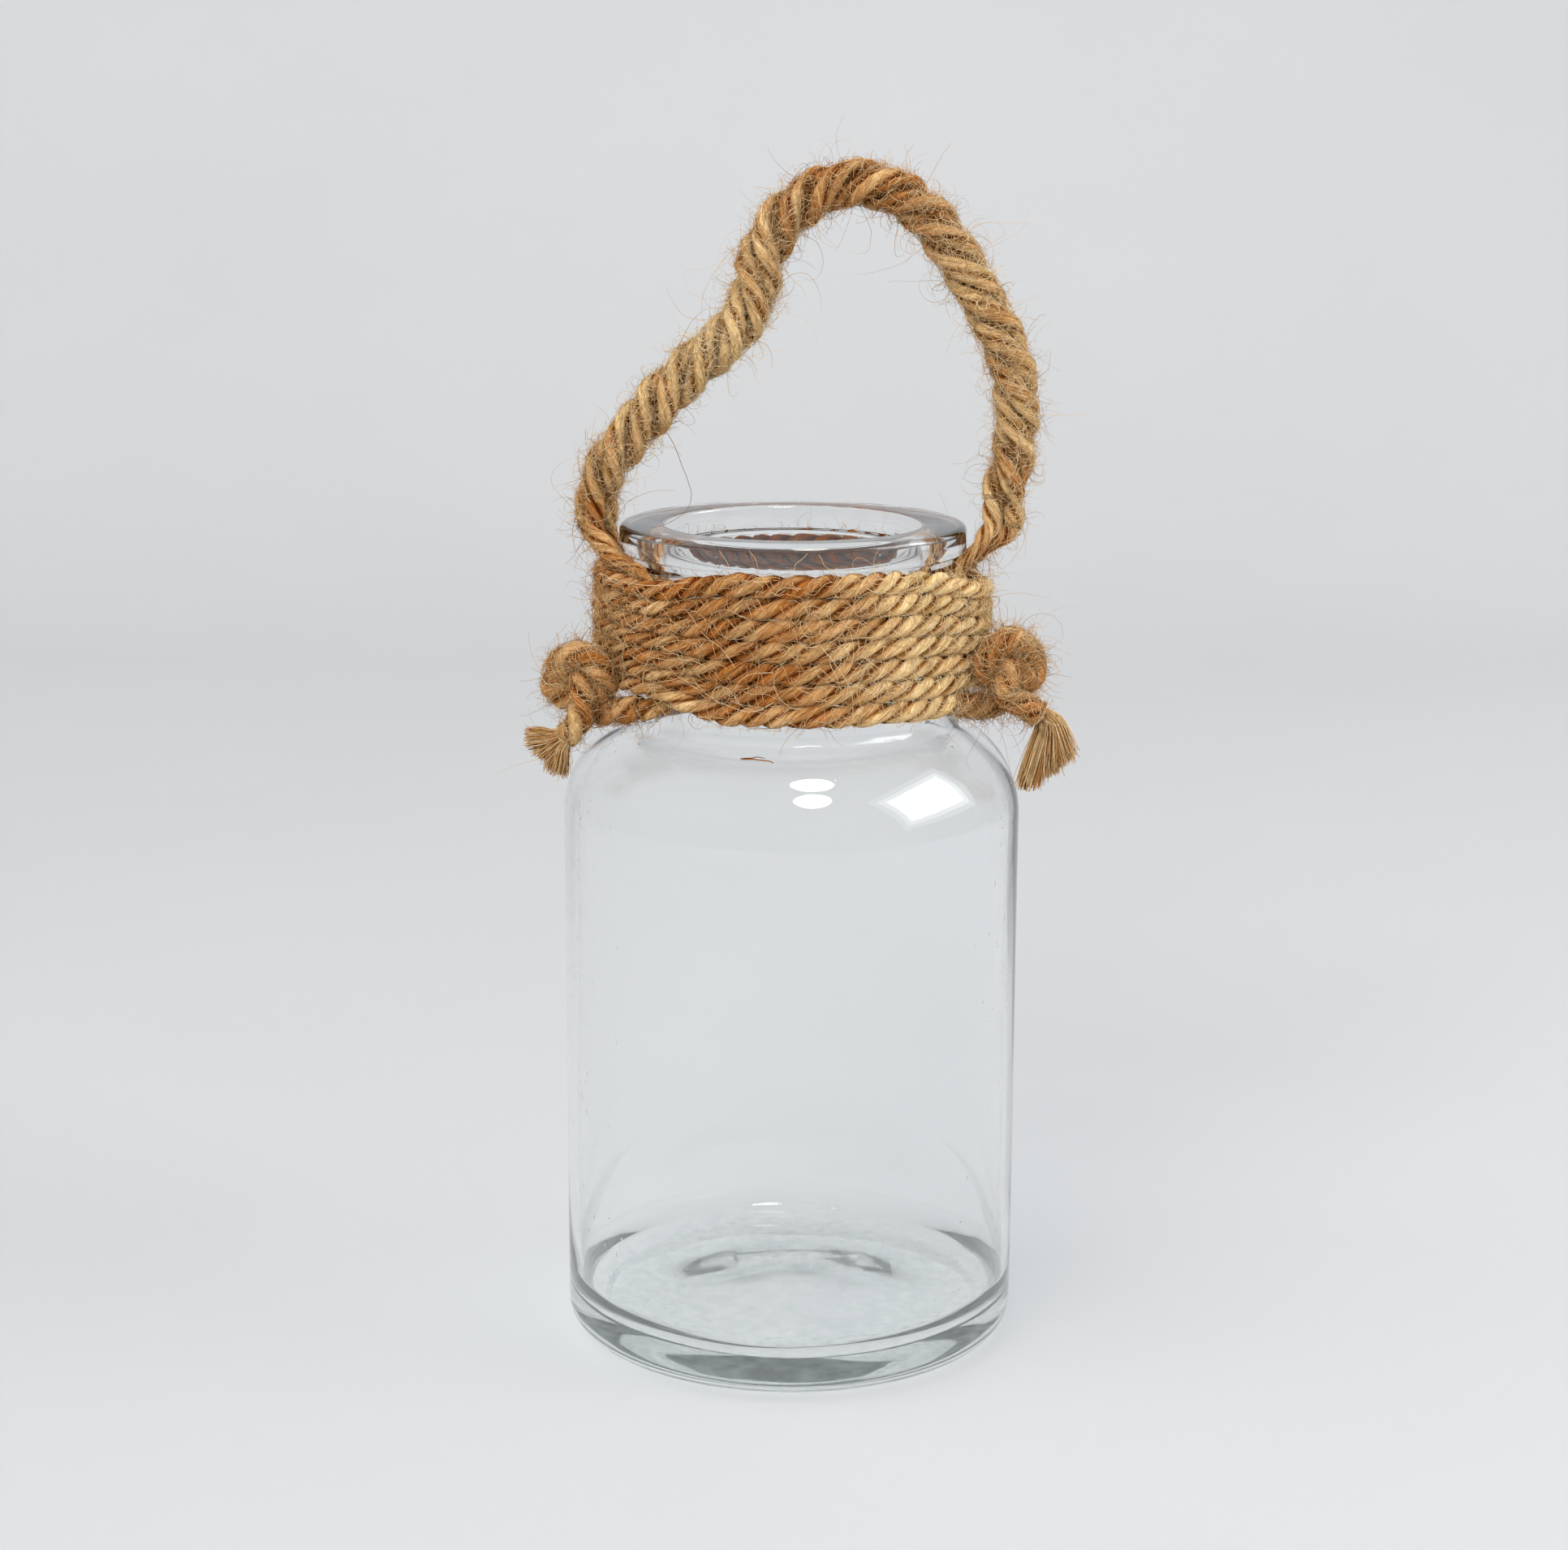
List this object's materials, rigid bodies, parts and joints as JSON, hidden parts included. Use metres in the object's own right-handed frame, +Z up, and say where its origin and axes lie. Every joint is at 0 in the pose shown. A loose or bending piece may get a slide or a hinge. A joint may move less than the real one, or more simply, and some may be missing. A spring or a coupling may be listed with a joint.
{
  "type": "mason jar lantern",
  "caption": "Clear glass jar with jute rope wound round its neck, a knotted end at each side and a swinging handle of twisted rope.",
  "frame": {"origin": "on the jar's axis, at the surface that it stands on", "axes": "+Z up along the jar's axis, +X towards the handle's right root, -Y towards the front"},
  "size_m": [0.1288, 0.11, 0.2849],
  "materials": {
    "glass": "clear, polished",
    "jute": "rough, hairy"
  },
  "bodies": {
    "jar": {"glass_jar": "glass", "left_tail": "jute", "left_knot": "jute", "left_root": "jute", "right_bight": "jute", "left_bight": "jute", "right_lead": "jute", "neck_winding": "jute", "right_knot": "jute", "right_tail": "jute"},
    "handle": {"handle_strand_1": "jute", "handle_strand_2": "jute", "handle_strand_3": "jute"}
  },
  "joints": [
    {"name": "handle_swing", "type": "hinge", "parent": "jar", "child": "handle", "pos_m": [0, 0, 0.2066], "axis": [1, 0, 0], "range_deg": [-90, 90]}
  ]
}
